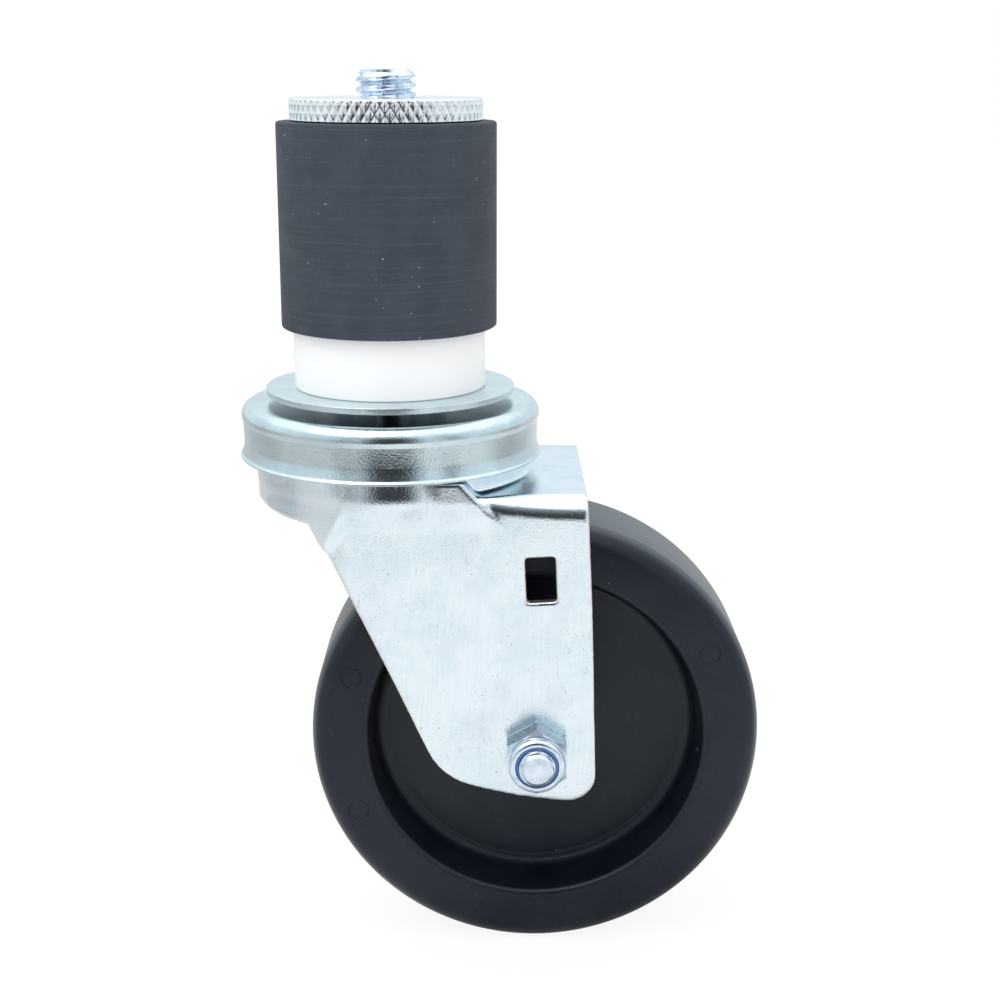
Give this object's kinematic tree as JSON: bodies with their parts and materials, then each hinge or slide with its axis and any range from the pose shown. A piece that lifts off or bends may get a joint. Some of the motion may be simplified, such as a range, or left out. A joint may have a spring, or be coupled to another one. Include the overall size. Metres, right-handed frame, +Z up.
{
  "type": "expanding stem castor",
  "caption": "Swivel castor with a rubber sleeve on a long bolt that expands to grip the inside of a tube, a stamped zinc-plated fork and a black plastic wheel.",
  "frame": {"origin": "on the swivel axis, on the top face of the seat washer, where the end of the tube rests", "axes": "+Z up the stem, +X to the trailing side, +Y along the axle towards the bolt's head"},
  "size_m": [0.0875, 0.0502, 0.1481],
  "materials": {
    "rubber": "matte moulded rubber",
    "nylon": "smooth white nylon",
    "zinc_sheet": "bright zinc plating on stamped sheet",
    "zinc_cover": "satin zinc plating",
    "zinc_hardware": "bright zinc plating on fasteners",
    "bearing_steel": "polished steel, lightly greased",
    "wheel_plastic": "satin black moulded plastic",
    "blue_nylon": "blue nylon"
  },
  "bodies": {
    "stem_adapter": {"rubber_sleeve": "rubber", "nylon_spacer": "nylon", "seat_washer": "zinc_cover", "kingpin": "zinc_hardware", "dust_cover": "zinc_cover", "upper_race": "bearing_steel", "lower_race": "bearing_steel"},
    "clamp_bolt_body": {"clamp_bolt": "zinc_hardware"},
    "clamp_nut_body": {"knurled_nut": "zinc_hardware"},
    "upper_ball_row": {"upper_balls": "bearing_steel"},
    "lower_ball_row": {"lower_balls": "bearing_steel"},
    "swivel_fork": {"fork": "zinc_sheet", "axle_sleeve": "zinc_hardware", "axle_bolt": "zinc_hardware", "axle_nut": "zinc_hardware", "nut_insert": "blue_nylon"},
    "road_wheel": {"wheel": "wheel_plastic"}
  },
  "joints": [
    {"name": "swivel", "type": "hinge", "parent": "stem_adapter", "child": "swivel_fork", "pos_m": [0, 0, -0.0082], "axis": [0, 0, 1], "continuous": true},
    {"name": "wheel_spin", "type": "hinge", "parent": "swivel_fork", "child": "road_wheel", "pos_m": [0.0243, 0, -0.0592], "axis": [0, 1, 0], "continuous": true},
    {"name": "clamp_turn", "type": "hinge", "parent": "stem_adapter", "child": "clamp_bolt_body", "pos_m": [0, 0, -0.0127], "axis": [0, 0, 1], "range_deg": [0, 1440]},
    {"name": "nut_draw", "type": "slide", "parent": "stem_adapter", "child": "clamp_nut_body", "axis": [0, 0, -1], "range_m": [0, 0.00635], "deforming": ["rubber_sleeve"]},
    {"name": "upper_ball_orbit", "type": "hinge", "parent": "stem_adapter", "child": "upper_ball_row", "pos_m": [0, 0, -0.0056], "axis": [0, 0, 1], "continuous": true},
    {"name": "lower_ball_orbit", "type": "hinge", "parent": "stem_adapter", "child": "lower_ball_row", "pos_m": [0, 0, -0.00895], "axis": [0, 0, 1], "continuous": true}
  ],
  "couplings": [
    {"joint": "clamp_turn", "follows": "nut_draw", "rad_per_m": 3957.9},
    {"joint": "upper_ball_orbit", "follows": "swivel", "ratio": 0.5},
    {"joint": "lower_ball_orbit", "follows": "swivel", "ratio": 0.5}
  ]
}
